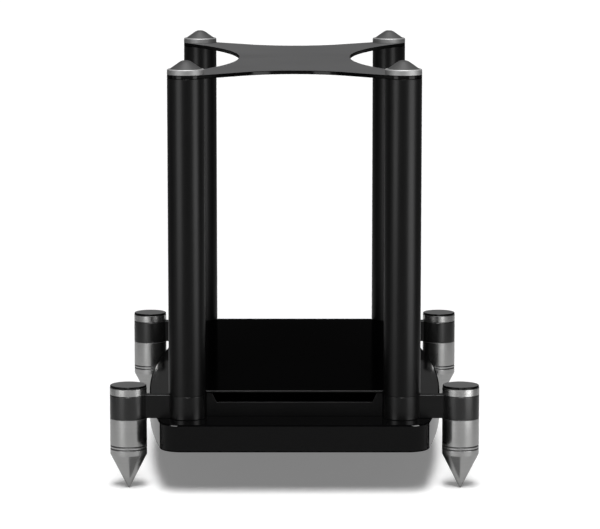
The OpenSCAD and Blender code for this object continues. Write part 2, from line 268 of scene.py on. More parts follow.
class StandStage(bpy.types.PropertyGroup):
    """Camera, lamps and floor."""

    camera_distance: length("Camera distance", "From the stand's middle, along the floor", 3.4348)
    camera_height: length("Camera height", "Above the floor", 0.7016)
    camera_pitch: number("Camera pitch", "Downwards from level", math.radians(8.147), "ROTATION")
    focal_pixels: number("Focal length", "In pixels of a 600 pixel wide picture", 2981.7)
    shift: number("Shift", "Sideways shift, as a share of the picture's width", 0.0091)
    floor: share("Floor", "Whiteness of the floor", 0.9)
    floor_glow: share("Floor glow", "Light that the floor adds for the camera", 0.208)
    floor_in_gloss: share("Floor in gloss", "Greyness of the floor for all but the camera", 0.5)
    # Painted shade: grey of the patches painted on the floor that only reflections show.
    painted_shade: share("Card", "Greyness of the dark cards on the floor, not seen by the camera", 0.17)
    left_lamp: number("Left lamp", "Power of the left front lamp", 5.9, "POWER")
    right_lamp: number("Right lamp", "Power of the right front lamp", 3.1, "POWER")
    top: number("Top light", "Strength of the lights from above, together", 2.85)
    surround: share("Surround", "Grey of the room in reflections", 0.09)
    ambient: share("Ambient", "Grey of the room in diffuse light", 0.035)


class Part:
    """The place and size of a frame node: its middle in plan, radius and heights."""

    def __init__(self, node):
        self.low, self.high = low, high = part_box(node)
        self.x = (low.x + high.x) / 2
        self.y = (low.y + high.y) / 2
        self.centre = (self.x, self.y)
        self.half_w = (high.x - low.x) / 2
        self.half_d = (high.y - low.y) / 2
        self.radius = self.half_w
        self.foot = low.z
        self.top = high.z

    def beyond(self, middle):
        """The radius of one of a set of like pieces, from the middle of a right-hand one."""
        return self.high.x - middle.x


class Socket:
    """A shader value that adds, multiplies and subtracts by growing its node tree."""

    def __init__(self, nodes, socket):
        self.nodes = nodes
        self.socket = socket

    def _math(self, operation, first, second):
        """One Math node of two values or numbers."""
        return self.nodes.node("ShaderNodeMath", {"operation": operation}, {0: first, 1: second})

    def __add__(self, other):
        return self._math("ADD", self, other)

    __radd__ = __add__

    def __mul__(self, other):
        return self._math("MULTIPLY", self, other)

    __rmul__ = __mul__

    def __sub__(self, other):
        return self._math("SUBTRACT", self, other)

    def __rsub__(self, other):
        return self._math("SUBTRACT", other, self)

    def above(self, level):
        """One where the value is over a level, or else nought."""
        return self._math("GREATER_THAN", self, level)


class Nodes:
    """A node tree that is grown one node at a time."""

    def __init__(self, tree):
        self.tree = tree
        tree.nodes.clear()

    def node(self, kind, settings=None, values=None, output=0):
        """Adds a node, makes its settings, then fills its sockets by name or number."""
        made = self.tree.nodes.new(kind)
        for key, value in (settings or {}).items():
            setattr(made, key, value)
        for key, value in (values or {}).items():
            if isinstance(value, Socket):
                self.tree.links.new(value.socket, made.inputs[key])
            else:
                made.inputs[key].default_value = value
        return Socket(self, made.outputs[output]) if made.outputs else None

    def given(self):
        """The inputs of a node group, by name."""
        inputs = self.tree.nodes.new("NodeGroupInput").outputs
        return {socket.name: Socket(self, socket) for socket in inputs}


class Finish(Nodes):
    """A material and the few patterns that its recipe needs."""

    SKIN = {
        "base": "Base Color", "metal": "Metallic", "roughness": "Roughness", "ior": "IOR",
        "specular": "Specular IOR Level", "normal": "Normal",
    }

    def __init__(self, name):
        self.material = bpy.data.materials.new(name)
        self.material.use_nodes = True
        super().__init__(self.material.node_tree)

    def place(self):
        """Object coordinates, which are metres in the frame."""
        return self.node("ShaderNodeTexCoord", output="Object")

    def part_of(self, vector, axis):
        """One number of a vector."""
        return self.node("ShaderNodeSeparateXYZ", None, {0: vector}, axis)

    def along_profile(self):
        """The distance along a turned profile, from the piece's own map."""
        return self.part_of(self.node("ShaderNodeUVMap", {"uv_map": "turning"}), "Y")

    def stretched(self, vector, scale):
        """A vector scaled along each axis."""
        return self.node(
            "ShaderNodeVectorMath", {"operation": "MULTIPLY"}, {0: vector, 1: scale}, "Vector")

    def noise(self, vector, pattern):
        """Smooth noise from nought to one, of a pattern (scale, detail)."""
        scale, detail = pattern
        return self.node(
            "ShaderNodeTexNoise", {"noise_dimensions": "3D"},
            {"Vector": vector, "Scale": scale, "Detail": detail}, "Fac")

    def lines(self, value, pattern, roughness=0.6):
        """Noise that changes along one number, as tool marks do."""
        scale, detail = pattern
        return self.node(
            "ShaderNodeTexNoise", {"noise_dimensions": "1D"},
            {"W": value, "Scale": scale, "Detail": detail, "Roughness": roughness}, "Fac")

    def mixed(self, factor, first, second):
        """A colour between two colours."""
        # The Mix node's sockets 6 and 7 are the two colours, and its output 2 is the mixed one.
        return self.node(
            "ShaderNodeMix", {"data_type": "RGBA"}, {0: factor, 6: (*first, 1.0), 7: (*second, 1.0)}, 2)

    def shaded(self, factor, rgb, shades):
        """A colour that goes between its darkest and its lightest shade."""
        dark, light = (tuple(channel * shade for channel in rgb) for shade in shades)
        return self.mixed(factor, dark, light)

    def bump(self, height, depth):
        """A normal bent by a height of the given depth in metres."""
        return self.node("ShaderNodeBump", None, {"Height": height, "Distance": depth}, "Normal")

    def skin(self, **values):
        """Ends the recipe with the principled shader, its sockets given in plain words."""
        filled = {self.SKIN[word]: value for word, value in values.items()}
        return self.output(self.node("ShaderNodeBsdfPrincipled", None, filled, "BSDF"))

    def output(self, surface):
        """Ends the recipe and gives the material."""
        self.node("ShaderNodeOutputMaterial", None, {"Surface": surface})
        return self.material


def blended(first, second, shares):
    """Two patterns added in shares."""
    return first * shares[0] + second * shares[1]


def lacquer(name, rgb, roughness, specular, ior=1.5, peel_depth=0.012 * MM, clear=0.75, hazy=0.5):
    """Sprayed lacquer: a clear gloss, a faint orange peel and a slight haze here and there."""
    finish = Finish(name)
    place = finish.place()
    haze = finish.noise(place, LACQUER_HAZE)
    peel = finish.noise(place, LACQUER_PEEL)
    return finish.skin(
        base=finish.shaded(haze, rgb, LACQUER_SHADES), specular=specular, ior=ior,
        roughness=haze * (roughness * hazy) + roughness * clear, normal=finish.bump(peel, peel_depth))


def anodised_tube(name, rgb, roughness=0.3, cloudy=0.06, lined=0.05, specular=0.2, depth=0.01 * MM):
    """Drawn tube, bead blasted and anodised: fine draw lines along its length under a satin skin."""
    finish = Finish(name)
    place = finish.place()
    draw_lines = finish.noise(finish.stretched(place, TUBE_STRETCH), TUBE_DRAW_LINES)
    grain = finish.noise(place, TUBE_GRAIN)
    cloud = finish.noise(place, TUBE_CLOUD)
    return finish.skin(
        base=finish.shaded(cloud, rgb, TUBE_SHADES), specular=specular,
        roughness=roughness + cloud * cloudy + draw_lines * lined,
        normal=finish.bump(blended(draw_lines, grain, TUBE_HEIGHTS), depth))


def turned_steel(name, rgb, roughness=0.24, spread=0.04, depth=0.006 * MM):
    """Turned steel: fine tool rings that follow the profile, and a slight grey cloud."""
    finish = Finish(name)
    profile = finish.along_profile()
    rings = finish.lines(profile, STEEL_RINGS)
    bands = finish.lines(profile, STEEL_BANDS)
    cloud = finish.noise(finish.place(), STEEL_CLOUD)
    return finish.skin(
        base=finish.shaded(blended(bands, cloud, STEEL_TONES), rgb, STEEL_SHADES), metal=1.0,
        roughness=roughness - spread + rings * spread + cloud * spread,
        normal=finish.bump(rings, depth))


def plated_steel(name, rgb, roughness=0.34, patchy=0.16, depth=0.01 * MM):
    """Zinc plated fixings: a soft grain and duller patches."""
    finish = Finish(name)
    place = finish.place()
    grain = finish.noise(place, ZINC_GRAIN)
    patches = finish.noise(place, ZINC_PATCHES)
    return finish.skin(
        base=finish.shaded(patches, rgb, ZINC_SHADES), metal=1.0,
        roughness=roughness + patches * patchy, normal=finish.bump(grain, depth))


def moulded_rubber(name, rgb, roughness=0.42, blooming=0.08, specular=1.0, ior=1.62, depth=0.02 * MM):
    """Moulded rubber: a fine matt grain with a faint bloom."""
    finish = Finish(name)
    place = finish.place()
    grain = finish.noise(place, RUBBER_GRAIN)
    bloom = finish.noise(place, RUBBER_BLOOM)
    return finish.skin(
        base=finish.shaded(bloom, rgb, RUBBER_SHADES), specular=specular, ior=ior,
        roughness=roughness + bloom * blooming, normal=finish.bump(grain, depth))


# Each finish: its recipe, its colour setting, and what else the recipe is given.
RECIPES = {
    "slab_lacquer": (lacquer, "lacquer", {"roughness": 0.07, "specular": 0.18}),
    "rail_lacquer": (lacquer, "lacquer", {"roughness": 0.38, "specular": 0.17}),
    "deck_lacquer": (lacquer, "deck", {"roughness": 0.1, "specular": 0.5, "ior": 1.012}),
    "plate_lacquer": (lacquer, "plate", {"roughness": 0.42, "specular": 0.8}),
    "plate_wall": (lacquer, "lacquer", {"roughness": 0.2, "specular": 0.02}),
    "plate_end": (lacquer, "lacquer", {"roughness": 0.12, "specular": 0.13}),
    "gloss_edge": (lacquer, "lacquer", {"roughness": 0.2, "specular": 0.11}),
    "dull_edge": (lacquer, "lacquer", {"roughness": 0.3, "specular": 0.0}),
    "glint_edge": (lacquer, "lacquer", {"roughness": 0.2, "specular": 0.9}),
    "arm_lacquer": (lacquer, "arm", {"roughness": 0.3, "specular": 0.28}),
    "collar_lacquer": (lacquer, "collar", {"roughness": 0.27, "specular": 0.75}),
    "cap_lacquer": (lacquer, "cap", {"roughness": 0.42, "specular": 0.8}),
    "anodised_tube": (anodised_tube, "anodised", {}),
    "turned_steel": (turned_steel, "steel", {}),
    "groove_steel": (turned_steel, "groove", {"roughness": 0.45}),
    "blasted_steel": (turned_steel, "pad_ring", {"roughness": 0.6}),
    "bright_rim": (turned_steel, "pad_rim_highlight", {"roughness": 0.65}),
    "plated_steel": (plated_steel, "fixing", {}),
    "moulded_rubber": (moulded_rubber, "rubber", {}),
}
FINISHES = {}


def finish_of(name):
    """The material of a finish, made when it is first asked for."""
    if name not in FINISHES:
        recipe, tone, given = RECIPES[name]
        FINISHES[name] = recipe(name, tuple(getattr(bpy.context.scene.stand_finish, tone)), **given)
    return FINISHES[name]


def arc(centre, radius, start, end, steps):
    """Points on an arc, from one angle to another in degrees."""
    points = []
    for i in range(steps + 1):
        angle = math.radians(start + (end - start) * i / steps)
        points.append((centre[0] + radius * math.cos(angle), centre[1] + radius * math.sin(angle)))
    return points


def rounded(corners, closed=False, steps=ROUNDING_STEPS):
    """A line of points from corners (a, b, radius), each corner turned by an arc."""
    points = []
    last = len(corners) - 1
    for i, (a, b, radius) in enumerate(corners):
        here = Vector((a, b))
        if radius <= 0.0 or (not closed and i in (0, last)):
            points.append((a, b))
            continue
        back = Vector(corners[i - 1][:2]) - here
        ahead = Vector(corners[(i + 1) % len(corners)][:2]) - here
        half = back.angle(ahead) / 2
        reach = min(radius / math.tan(half), back.length * EDGE_SHARE, ahead.length * EDGE_SHARE)
        turn = reach * math.tan(half)
        middle = here + (back.normalized() + ahead.normalized()).normalized() * (turn / math.sin(half))
        first = here + back.normalized() * reach - middle
        sweep = first.angle_signed(here + ahead.normalized() * reach - middle)
        for k in range(steps + 1):
            angle = -sweep * k / steps
            spoke = Vector((
                first.x * math.cos(angle) - first.y * math.sin(angle),
                first.x * math.sin(angle) + first.y * math.cos(angle)))
            points.append(tuple(middle + spoke))
    return points


def inset(outline, distance):
    """An outline moved inwards by a distance; it runs anticlockwise."""
    moved = []
    count = len(outline)
    for i in range(count):
        here = Vector(outline[i])
        back = (here - Vector(outline[i - 1])).normalized()
        ahead = (Vector(outline[(i + 1) % count]) - here).normalized()
        inward = Vector((-back.y - ahead.y, back.x + ahead.x)).normalized()
        slant = max(INSET_SLANT, inward.dot(Vector((-back.y, back.x))))
        moved.append(tuple(here + inward * (distance / slant)))
    return moved


def without_repeats(points):
    """The points with neighbours that coincide left out, the first and last too."""
    kept = []
    for point in points:
        if not kept or (Vector(point) - Vector(kept[-1])).length > SAME_POINT:
            kept.append(point)
    if (Vector(kept[0]) - Vector(kept[-1])).length <= SAME_POINT:
        kept.pop()
    return kept


def four_way(quarter):
    """A whole outline from its front right quarter, mirrored twice."""
    right = quarter + [(a, -b) for a, b in reversed(quarter)]
    return without_repeats(right + [(-a, b) for a, b in reversed(right)])


def mesh_piece(name, built):
    """Makes an object of a bmesh, shaded smooth but for its sharp edges."""
    mesh = bpy.data.meshes.new(name)
    built.normal_update()
    built.to_mesh(mesh)
    built.free()
    mesh.shade_smooth()
    mesh.set_sharp_from_angle(angle=math.radians(SHARP_DEGREES))
    piece = bpy.data.objects.new(name, mesh)
    bpy.context.scene.collection.objects.link(piece)
    return piece


def even_shading(piece):
    """Keeps large flat faces flat beside their small roundings."""
    piece.modifiers.new("even_shading", "WEIGHTED_NORMAL").keep_sharp = True
    return piece


def standing(a, b, level):
    """The place of an outline that lies flat and is carried upwards."""
    return (a, b, level)


def crosswise(a, b, level):
    """The place of an outline that stands up and is carried to the rear."""
    return (a, level, b)


def prism(name, outline, low, high, edge, place=standing, steps=ROUNDING_STEPS):
    """An outline carried from low to high, with both rims rounded."""
    outline = without_repeats(outline)
    rows = []
    for k in range(steps + 1):
        angle = math.radians(90.0 * k / steps)
        rows.append((edge * (1 - math.sin(angle)), low + edge * (1 - math.cos(angle))))
    rows += [(away, low + high - level) for away, level in reversed(rows)]
    built = bmesh.new()
    rings = []
    for away, level in rows:
        ring = inset(outline, away) if away > 0 else outline
        rings.append([built.verts.new(place(a, b, level)) for a, b in ring])
    count = len(outline)
    for under, over in zip(rings, rings[1:]):
        for i in range(count):
            j = (i + 1) % count
            built.faces.new((under[i], under[j], over[j], over[i]))
    built.faces.new(list(reversed(rings[0])))
    built.faces.new(rings[-1])
    bmesh.ops.recalc_face_normals(built, faces=built.faces)
    return even_shading(mesh_piece(name, built))


def turned(name, profile, centre, closed=False, segments=TURNED_SEGMENTS, thread=None):
    """A profile of (radius, height) turned about a vertical axis.

    A closed profile is a ring, and an open one starts and ends on the axis. The
    map called turning holds the share of a turn and the distance along the profile.
    thread is (from row, to row, pitch, depth): these rows carry a helical groove.
    """
    points = without_repeats(profile) if closed else profile
    first, last, pitch, depth = thread or (0, -1, 1.0, 0.0)
    built = bmesh.new()
    turning = built.loops.layers.uv.new("turning")
    walked = [0.0]
    for previous, point in zip(points, points[1:] + points[:1]):
        walked.append(walked[-1] + (Vector(point) - Vector(previous)).length)
    rings = []
    for row, (radius, height) in enumerate(points):
        if radius < ON_AXIS:
            rings.append([built.verts.new((*centre, height))])
            continue
        ring = []
        for j in range(segments):
            angle = 2 * math.pi * j / segments
            reach = radius
            if first <= row <= last:
                phase = (height / pitch - j / segments) % 1.0
                reach -= depth * (1 - abs(2 * phase - 1)) ** THREAD_FLANK
            ring.append(built.verts.new(
                (centre[0] + reach * math.cos(angle), centre[1] + reach * math.sin(angle), height)))
        rings.append(ring)
    pairs = list(zip(range(len(rings)), range(1, len(rings))))
    if closed:
        pairs.append((len(rings) - 1, 0))
    for lower, upper in pairs:
        under, over = rings[lower], rings[upper]
        for j in range(segments):
            k = (j + 1) % segments
            corners = [(under, j, lower), (under, k, lower), (over, k, lower + 1), (over, j, lower + 1)]
            if len(under) == 1:
                corners = [(under, 0, lower), corners[2], corners[3]]
            elif len(over) == 1:
                corners = [corners[0], corners[1], (over, 0, lower + 1)]
            face = built.faces.new([ring[index] for ring, index, _ in corners])
            turns = {j: j, k: j + 1}
            for loop, (ring, index, row) in zip(face.loops, corners):
                share_of_turn = turns.get(index, j) if len(ring) > 1 else j + 0.5
                loop[turning].uv = (share_of_turn / segments, walked[row])
    return even_shading(mesh_piece(name, built))


def settle(piece):
    """Turns a piece's modifiers into plain mesh and removes them."""
    graph = bpy.context.evaluated_depsgraph_get()
    mesh = bpy.data.meshes.new_from_object(piece.evaluated_get(graph), depsgraph=graph)
    piece.modifiers.clear()
    plain = piece.data
    piece.data = mesh
    bpy.data.meshes.remove(plain)
    return piece


def cut(piece, cutter):
    """Cuts one piece by another, removes the cutter and cleans the cut."""
    piece.modifiers.clear()
    holes = piece.modifiers.new("holes", "BOOLEAN")
    holes.operation = "DIFFERENCE"
    holes.solver = "EXACT"
    holes.object = cutter
    settle(piece)
    bpy.data.objects.remove(cutter)
    cleaned = bmesh.new()
    cleaned.from_mesh(piece.data)
    bmesh.ops.remove_doubles(cleaned, verts=cleaned.verts, dist=CUT_MERGE)
    bmesh.ops.dissolve_degenerate(cleaned, edges=cleaned.edges, dist=CUT_MERGE)
    cleaned.to_mesh(piece.data)
    cleaned.free()
    return even_shading(piece)


def joined(name, pieces):
    """Several pieces as one object of separate shells."""
    built = bmesh.new()
    for piece in pieces:
        built.from_mesh(piece.data)
        bpy.data.objects.remove(piece)
    return mesh_piece(name, built)


def four_places_tree():
    """A node group that sets its geometry at the four corners of a rectangle."""
    tree = bpy.data.node_groups.new("four_places", "GeometryNodeTree")
    for direction, label, kind in (
        ("INPUT", "Geometry", "Geometry"), ("INPUT", "Spacing across", "Float"),
        ("INPUT", "Spacing in depth", "Float"), ("INPUT", "Material", "Material"),
        ("OUTPUT", "Geometry", "Geometry"),
    ):
        tree.interface.new_socket(label, in_out=direction, socket_type="NodeSocket" + kind)
    nodes = Nodes(tree)
    given = nodes.given()
    grid = nodes.node("GeometryNodeMeshGrid", None, {
        "Vertices X": 2, "Vertices Y": 2,
        "Size X": given["Spacing across"], "Size Y": given["Spacing in depth"]})
    copies = nodes.node(
        "GeometryNodeInstanceOnPoints", None, {"Points": grid, "Instance": given["Geometry"]})
    real = nodes.node("GeometryNodeRealizeInstances", None, {"Geometry": copies})
    painted = nodes.node(
        "GeometryNodeSetMaterial", None, {"Geometry": real, "Material": given["Material"]})
    nodes.node("NodeGroupOutput", None, {"Geometry": painted})
    return tree


def at_four_places(piece, spacing, material=None):
    """Repeats a piece made at the middle to four corners, as plain mesh."""
    tree = bpy.data.node_groups.get("four_places") or four_places_tree()
    piece.modifiers.clear()
    repeat = piece.modifiers.new("four_places", "NODES")
    repeat.node_group = tree
    across, depth = spacing
    values = {"Spacing across": across, "Spacing in depth": depth, "Material": material}
    for item in tree.interface.items_tree:
        if item.in_out == "INPUT" and item.name in values:
            repeat[item.identifier] = values[item.name]
    return even_shading(settle(piece))


def dress(piece, finish, node, body="frame"):
    """Gives a piece its finish and body, and hides the frame node that it stands for."""
    piece.data.materials.clear()
    piece.data.materials.append(finish_of(finish))
    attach(piece, body)
    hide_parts(node)


def without_shadow(piece):
    """Lets the top light past a piece, because the photograph has almost no shadow at the feet."""
    piece.visible_shadow = False


def paint(piece, finish, picked):
    """Gives one more finish to the faces that a test picks."""
    piece.data.materials.append(finish_of(finish))
    index = len(piece.data.materials) - 1
    for face in piece.data.polygons:
        if picked(face):
            face.material_index = index


def on_wall(face):
    """Whether a face stands upright."""
    return abs(face.normal.z) < WALL_RISE


def on_rounding(face):
    """Whether a face lies on a rounding, between wall and flat."""
    return WALL_RISE <= abs(face.normal.z) <= FLAT_RISE


def edge_finish(piece, wall, rim):
    """Gives the walls a second finish, and the roundings a third."""
    paint(piece, wall, on_wall)
    paint(piece, rim, on_rounding)


def pillar_spacing():
    """How far apart the pillars are, across and in depth."""
    tube = Part("pillar_front_right")
    return 2 * tube.x, 2 * abs(tube.y)


def screw_spacings():
    """How far apart the screws of the end rails are, and those of the side rails."""
    end = Part("front_rail")
    side = Part("right_rail")
    return {
        "end_screw": (end.half_w, 2 * abs(end.y)),
        "side_screw": (2 * side.x, 2 * side.half_d * SIDE_SCREW_SHARE),
    }


def round_bar(name, radius, low, high, soft=0.0, bore=0.0):
    """A round bar at the middle with softened rims, or a washer where it has a bore."""
    profile = rounded(
        [(bore, low, 0), (radius, low, soft), (radius, high, soft), (bore, high, 0)],
        closed=bore > 0, steps=3)
    return turned(name, profile, (0, 0), bore > 0, BAR_SEGMENTS)


def slab_outline(slab):
    """The slab's bowed outline: its sides run to their full bow between the pillars."""
    tube = Part("pillar_front_right")
    side_r = (tube.y ** 2 + SLAB_BOW ** 2) / (2 * SLAB_BOW)
    middle_x = slab.half_w - side_r
    corner_y = slab.half_d - SLAB_CORNER
    corner_x = middle_x + math.sqrt((side_r - SLAB_CORNER) ** 2 - corner_y ** 2)
    turn = math.degrees(math.asin(corner_y / (side_r - SLAB_CORNER)))
    quarter = [(0.0, -slab.half_d)]
    quarter += arc((corner_x, -corner_y), SLAB_CORNER, -90, -turn, SLAB_CORNER_STEPS)
    quarter += arc((middle_x, 0.0), side_r, -turn, 0, SLAB_SIDE_STEPS)
    return four_way(quarter)


class MakeSlab(bpy.types.Operator):
    """Base slab with rounded rims and the recesses in its underside"""

    bl_idname = "stand.make_slab"
    bl_label = "Base slab"

    def execute(self, context):
        edge = context.scene.stand_shape.slab_edge
        slab = Part("base_slab")
        piece = prism("slab", slab_outline(slab), slab.foot, slab.top, edge)
        recesses = [("nut_recess", NUT_RECESS_RADIUS, NUT_RECESS_DEPTH, pillar_spacing())]
        recesses += [
            (name + "_recess", SCREW_RECESS_RADIUS, SCREW_RECESS_DEPTH, spacing)
            for name, spacing in screw_spacings().items()]
        cutters = [
            at_four_places(round_bar(name, radius, slab.foot - CUT_OVER, slab.foot + depth), spacing)
            for name, radius, depth, spacing in recesses]
        cut(piece, joined("slab_cutter", cutters))
        dress(piece, "slab_lacquer", "base_slab")
        edge_finish(piece, "slab_lacquer", "dull_edge")

        def glints(face):
            beyond = abs(face.center.x) - SLAB_GLINT_FROM
            upper = face.center.z > slab.top - edge
            return upper and on_rounding(face) and 0.0 < beyond < SLAB_GLINT_LENGTH

        paint(piece, "glint_edge", glints)
        return {"FINISHED"}


def outrigger_outline(tube, foot, side):
    """Plan of an outrigger: the pillar's collar, the bar and the foot's collar."""
    spread = abs(foot.x - tube.x)
    at_tube = math.degrees(math.asin(BAR_HALF_THICKNESS / tube.radius))
    at_foot = math.degrees(math.asin(BAR_HALF_THICKNESS / foot.radius))
    outline = arc((0.0, 0.0), tube.radius, at_tube, 360 - at_tube, COLLAR_STEPS)
    outline += arc((spread, 0.0), foot.radius, -180 + at_foot, 180 - at_foot, COLLAR_STEPS)
    outline = [(tube.x + side * out, tube.y + back) for out, back in outline]
    return outline if side > 0 else list(reversed(outline))


class MakeOutriggers(bpy.types.Operator):
    """Outriggers, each with its two collars and its bar"""

    bl_idname = "stand.make_outriggers"
    bl_label = "Outriggers"

    def execute(self, context):
        edge = context.scene.stand_shape.arm_edge
        for corner, side in CORNERS.items():
            foot = Part("sleeve_" + corner)
            outline = outrigger_outline(Part("pillar_" + corner), foot, side)
            arm = prism(
                "outrigger_arm_" + corner, outline, foot.top, Part("foot_ring_" + corner).foot, edge)
            dress(arm, "arm_lacquer", "outrigger_" + corner)
            without_shadow(arm)

            def on_collar(face):
                away = math.hypot(face.center.x - foot.x, face.center.y - foot.y)
                return abs(away - foot.radius) < edge

            # Painted sheen: the collar round the foot takes a lighter, glossier lacquer than the rest
            # of the outrigger.
            paint(arm, "collar_lacquer", on_collar)
        return {"FINISHED"}


def deck_outline(deck):
    """The deck's plan, with a hollow corner round each pillar."""
    tube = Part("pillar_front_right")
    radius = tube.radius + DECK_CORNER_GAP
    front_x = tube.x - math.sqrt(radius ** 2 - (deck.half_d + tube.y) ** 2)
    side_y = tube.y + math.sqrt(radius ** 2 - (tube.x - deck.half_w) ** 2)
    start = math.degrees(math.atan2(-deck.half_d - tube.y, front_x - tube.x))
    end = math.degrees(math.atan2(side_y - tube.y, deck.half_w - tube.x))
    quarter = [(0.0, -deck.half_d)] + arc(tube.centre, radius, start, end, DECK_CORNER_STEPS)
    quarter.append((deck.half_w, 0.0))
    return four_way(quarter)


def notched_outline(rail, soft):
    """An end rail seen from the front, with its shallow notch between two lands."""
    half = rail.half_w
    notch = half - NOTCH_LAND
    floor = rail.top - NOTCH_DEPTH
    return rounded([
        (-half, rail.foot, 0), (half, rail.foot, 0), (half, rail.top, 0),
        (notch, rail.top, soft), (notch - NOTCH_SLOPE, floor, soft),
        (-notch + NOTCH_SLOPE, floor, soft), (-notch, rail.top, soft), (-half, rail.top, 0),
    ], closed=True)


class MakeDeck(bpy.types.Operator):
    """Deck plate, the notched end rails and the side rails"""

    bl_idname = "stand.make_deck"
    bl_label = "Deck and rails"

    def execute(self, context):
        shape = context.scene.stand_shape
        edge = shape.rail_edge
        deck = Part("deck_plate")
        plate = prism("deck", deck_outline(deck), deck.foot, deck.top, shape.deck_edge)
        dress(plate, "deck_lacquer", "deck_plate")
        edge_finish(plate, "gloss_edge", "gloss_edge")
        for name in ("front_rail", "rear_rail"):
            rail = Part(name)
            outline = notched_outline(rail, 2 * edge)
            piece = prism(name + "_bar", outline, rail.low.y, rail.high.y, edge, crosswise)
            dress(piece, "rail_lacquer", name)
        for name in ("left_rail", "right_rail"):
            rail = Part(name)
            outline = [
                (rail.low.x, rail.low.y), (rail.high.x, rail.low.y),
                (rail.high.x, rail.high.y), (rail.low.x, rail.high.y)]
            piece = prism(name + "_bar", outline, rail.foot, rail.top, edge)
            dress(piece, "rail_lacquer", name)
        return {"FINISHED"}


class MakePillars(bpy.types.Operator):
    """Pillar tubes"""

    bl_idname = "stand.make_pillars"
    bl_label = "Pillars"

    def execute(self, context):
        edge = context.scene.stand_shape.tube_edge
        for corner in CORNERS:
            tube = Part("pillar_" + corner)
            bore = tube.radius - TUBE_WALL
            profile = rounded([
                (bore, tube.foot, edge), (tube.radius, tube.foot, edge),
                (tube.radius, tube.top, edge), (bore, tube.top, edge),
            ], closed=True)
            piece = turned("tube_" + corner, profile, tube.centre, closed=True)
            dress(piece, "anodised_tube", "pillar_" + corner)
        return {"FINISHED"}


def plate_outline():
    """The cross-shaped plate: ears on the pillars, hollow ends and hollow sides."""
    tube = Part("pillar_front_right")
    ear = tube.radius
    reach_y = -tube.y
    end_y = reach_y - PLATE_END_INSET + PLATE_END_RADIUS
    offset = end_y - reach_y
    spread = math.hypot(tube.x, offset)
    tangent = math.degrees(math.atan2(offset, tube.x) + math.acos((PLATE_END_RADIUS + ear) / spread))
    run = tube.x - PLATE_HALF_WAIST
    side_r = (run ** 2 + reach_y ** 2 - ear ** 2) / (2 * (run + ear))
    side_x = PLATE_HALF_WAIST + side_r
    side = math.degrees(math.atan2(reach_y, side_x - tube.x))
    quarter = arc((0.0, -end_y), PLATE_END_RADIUS, 90, tangent, PLATE_END_STEPS)
    quarter += arc(tube.centre, ear, 180 + tangent, 360 + side, PLATE_EAR_STEPS)
    quarter += arc((side_x, 0.0), side_r, 180 + side, 180, PLATE_SIDE_STEPS)
    return four_way(quarter)


class MakeTopPlate(bpy.types.Operator):
    """Cross-shaped top plate"""

    bl_idname = "stand.make_top_plate"
    bl_label = "Top plate"

    def execute(self, context):
        plate = Part("top_plate")
        edge = context.scene.stand_shape.plate_edge
        piece = prism("cross_plate", plate_outline(), plate.foot, plate.top, edge)
        # Painted light: the plate's top face is lighter than its walls and rims, which take the black
        # lacquer.
        dress(piece, "plate_lacquer", "top_plate")
        edge_finish(piece, "plate_wall", "dull_edge")

        def on_end(face):
            return on_wall(face) and abs(face.normal.y) > abs(face.normal.x)

        paint(piece, "plate_end", on_end)
        return {"FINISHED"}


def dome_profile(pad, rim):
    """A pad's upright side as far as its ring's rim, then its nose and its flat crown."""
    drop = math.sqrt(PAD_NOSE ** 2 - PAD_CROWN ** 2) - (pad.top - rim)
    low = math.degrees(
        math.atan2(drop, pad.radius) + math.acos(PAD_NOSE / math.hypot(pad.radius, drop)))
    high = math.degrees(math.acos(PAD_CROWN / PAD_NOSE))
    nose = arc((0.0, rim - drop), PAD_NOSE, low, high, NOSE_STEPS)
    return [(0.0, pad.foot), (pad.radius, pad.foot), (pad.radius, rim)] + nose + [(0.0, pad.top)]


class MakePads(bpy.types.Operator):
    """Steel rings and rubber domes on the pillars"""

    bl_idname = "stand.make_pads"
    bl_label = "Pad rings and pads"

    def execute(self, context):
        edge = context.scene.stand_shape.turned_edge
        bore = Part("tie_rods").beyond(Part("pad_ring_front_right")) + ROD_FIT
        for corner in CORNERS:
            ring = Part("pad_ring_" + corner)
            pad = Part("pad_" + corner)
            chamfer = ring.top - PAD_RING_CHAMFER
            seat = pad.radius + PAD_FIT
            floor = ring.top - PAD_SEAT
            profile = rounded([
                (bore, ring.foot, 0), (ring.radius, ring.foot, edge), (ring.radius, chamfer, edge),
                (ring.radius - PAD_RING_CHAMFER, ring.top, edge),
                (seat, ring.top, edge / 2), (seat, floor, 0), (bore, floor, 0),
            ], closed=True)
            piece = turned("seat_ring_" + corner, profile, ring.centre, closed=True)
            dress(piece, "blasted_steel", "pad_ring_" + corner)
            # Painted highlight: the ring's top rim gets lighter steel.
            paint(piece, "bright_rim",
                  lambda face: face.center.z > chamfer - edge and face.normal.z > RIM_RISE)
            piece = turned("rubber_dome_" + corner, dome_profile(pad, ring.top), pad.centre)
            dress(piece, "moulded_rubber", "pad_" + corner)
        return {"FINISHED"}


def steel_ring(name, node, low_chamfer, high_chamfer, edge, body="frame"):
    """A bored steel ring of a foot, chamfered at its rims, with painted shade on the chamfers that form
    its grooves.
    """
    part = Part(node)
    radius = part.radius
    profile = rounded([
        (STEM_BORE, part.foot, 0),
        (radius - low_chamfer, part.foot, edge), (radius, part.foot + low_chamfer, edge),
        (radius, part.top - high_chamfer, edge), (radius - high_chamfer, part.top, edge),
        (STEM_BORE, part.top, 0),
    ], closed=True, steps=3)
    piece = turned(name, profile, part.centre, closed=True)
    dress(piece, "turned_steel", node, body)
    without_shadow(piece)
    # Painted shade: the ring's chamfers, which form the grooves, get darker steel.
    edge_finish(piece, "turned_steel", "groove_steel")


